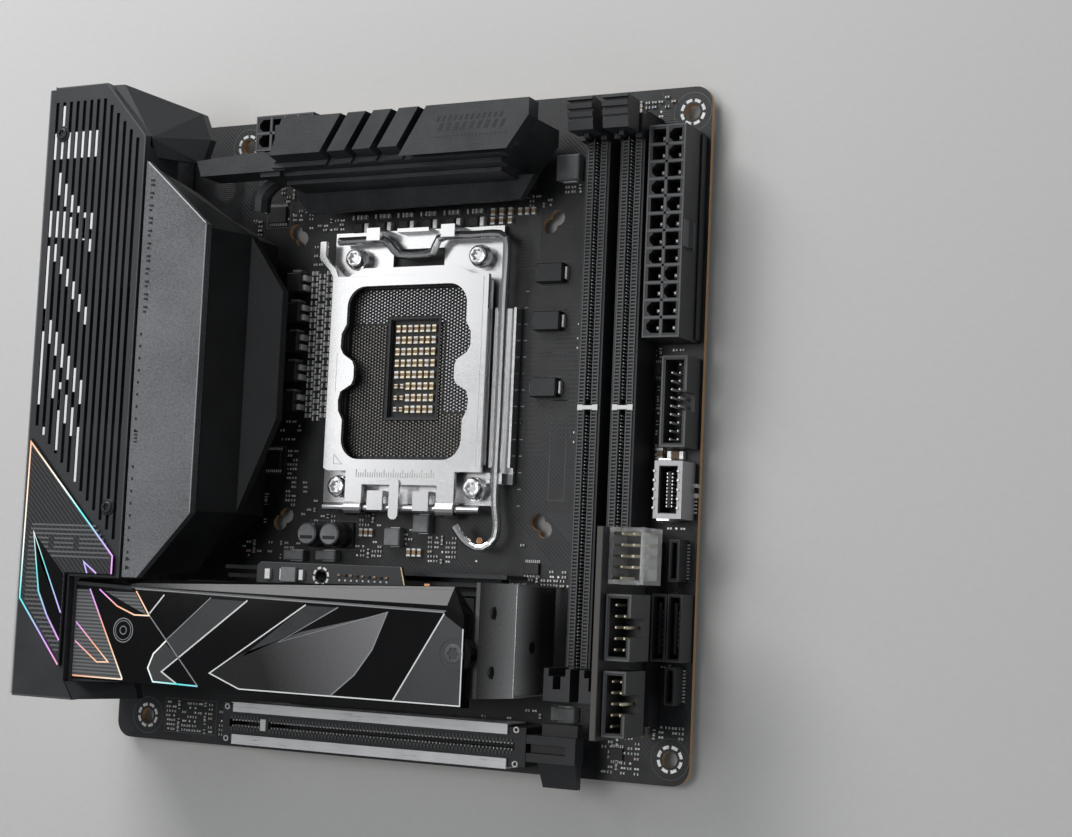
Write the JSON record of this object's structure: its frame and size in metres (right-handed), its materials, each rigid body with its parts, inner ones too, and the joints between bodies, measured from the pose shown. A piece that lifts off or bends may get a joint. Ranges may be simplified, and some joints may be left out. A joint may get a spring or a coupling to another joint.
{
  "type": "computer motherboard",
  "caption": "Small square computer main board with a lever-locked processor socket, memory and expansion slots, finned and faceted heatsinks and a covered rear panel.",
  "frame": {"origin": "centre of the assembly's footprint, at the underside of the socket backplate", "axes": "+X from the rear panel towards the memory slots and main power socket, +Y from the expansion slot towards the processor power socket, +Z out of the component side"},
  "size_m": [0.1732, 0.1748, 0.0457],
  "materials": {
    "laminate": "black solder mask over glass laminate, satin",
    "plastic": "moulded black plastic, fine matt grain",
    "clear_plastic": "clear moulded plastic",
    "steel": "nickel-plated sheet, satin to bright",
    "dark_metal": "black anodised aluminium, blasted",
    "grey_metal": "grey anodised aluminium, blasted",
    "gloss_black": "polished black"
  },
  "bodies": {
    "board": {"button_block": "plastic", "chipset": "gloss_black", "chipset_heatsink": "dark_metal", "cpu_power_socket": "plastic", "dimm_slot_a": "plastic", "dimm_slot_b": "plastic", "display_port": "steel", "drive_link_socket": "plastic", "fan_frame": "plastic", "heat_pipe": "dark_metal", "lan_port": "steel", "load_plate_pin": "steel", "main_power_socket": "plastic", "panel_header": "clear_plastic", "panel_link_socket": "plastic", "pcb": "laminate", "pcie_armour_lower": "steel", "pcie_armour_upper": "steel", "pcie_slot": "plastic", "rear_cover": "plastic", "rear_cover_trim": "gloss_black", "rear_shield": "steel", "riser_card": "laminate", "riser_socket": "plastic", "sata_port_a": "plastic", "sata_port_b": "plastic", "side_heatsink": "dark_metal", "side_heatsink_plate": "grey_metal", "socket_backplate": "dark_metal", "socket_body": "plastic", "socket_frame": "steel", "socket_screw_1": "steel", "socket_screw_2": "steel", "socket_screw_3": "steel", "socket_screw_4": "steel", "stack_end_cover": "steel", "stack_spacer_left": "plastic", "stack_spacer_right": "plastic", "storage_board": "laminate", "storage_cover": "gloss_black", "storage_cover_screw": "dark_metal", "storage_drive": "laminate", "storage_heatsink": "dark_metal", "upper_heatsink": "dark_metal", "usb2_header_a": "plastic", "usb2_header_b": "plastic", "usb3_header": "plastic", "usb_c_header": "steel", "usb_c_ports": "steel", "usb_stack_far": "steel", "usb_stack_near": "steel", "wireless_module": "steel"},
    "load_lever": {"socket_load_lever": "steel"},
    "load_plate": {"socket_load_plate": "steel"},
    "dimm_latch_a": {"dimm_latch_a": "plastic"},
    "dimm_latch_b": {"dimm_latch_b": "plastic"},
    "pcie_latch": {"pcie_latch": "plastic"},
    "clear_button": {"clear_button": "plastic"},
    "flash_button": {"flash_button": "plastic"},
    "fan_rotor": {"fan_rotor": "plastic"}
  },
  "joints": [
    {"name": "load_lever_hinge", "type": "hinge", "parent": "board", "child": "load_lever", "pos_m": [0.00941, 0.0492, 0.0089], "axis": [-1, 0, 0], "range_deg": [0, 105]},
    {"name": "load_plate_hinge", "type": "hinge", "parent": "board", "child": "load_plate", "pos_m": [0.00613, -0.0211, 0.0085], "axis": [1, 0, 0], "range_deg": [0, 105]},
    {"name": "dimm_latch_a_hinge", "type": "hinge", "parent": "board", "child": "dimm_latch_a", "pos_m": [0.06181, 0.0729, 0.0099], "axis": [-1, 0, 0], "range_deg": [0, 30]},
    {"name": "dimm_latch_b_hinge", "type": "hinge", "parent": "board", "child": "dimm_latch_b", "pos_m": [0.07101, 0.0729, 0.0099], "axis": [-1, 0, 0], "range_deg": [0, 30]},
    {"name": "pcie_latch_hinge", "type": "hinge", "parent": "board", "child": "pcie_latch", "pos_m": [0.05091, -0.0783, 0.0079], "axis": [0, 1, 0], "range_deg": [0, 20]},
    {"name": "clear_button_press", "type": "slide", "parent": "board", "child": "clear_button", "axis": [1, 0, 0], "range_m": [0, 0.001], "stiffness_N_per_m": 300, "springref_m": -0.0005},
    {"name": "flash_button_press", "type": "slide", "parent": "board", "child": "flash_button", "axis": [1, 0, 0], "range_m": [0, 0.001], "stiffness_N_per_m": 300, "springref_m": -0.0005},
    {"name": "fan_spin", "type": "hinge", "parent": "board", "child": "fan_rotor", "pos_m": [-0.07019, 0.0151, 0.0369], "axis": [0, 0, 1], "continuous": true}
  ]
}
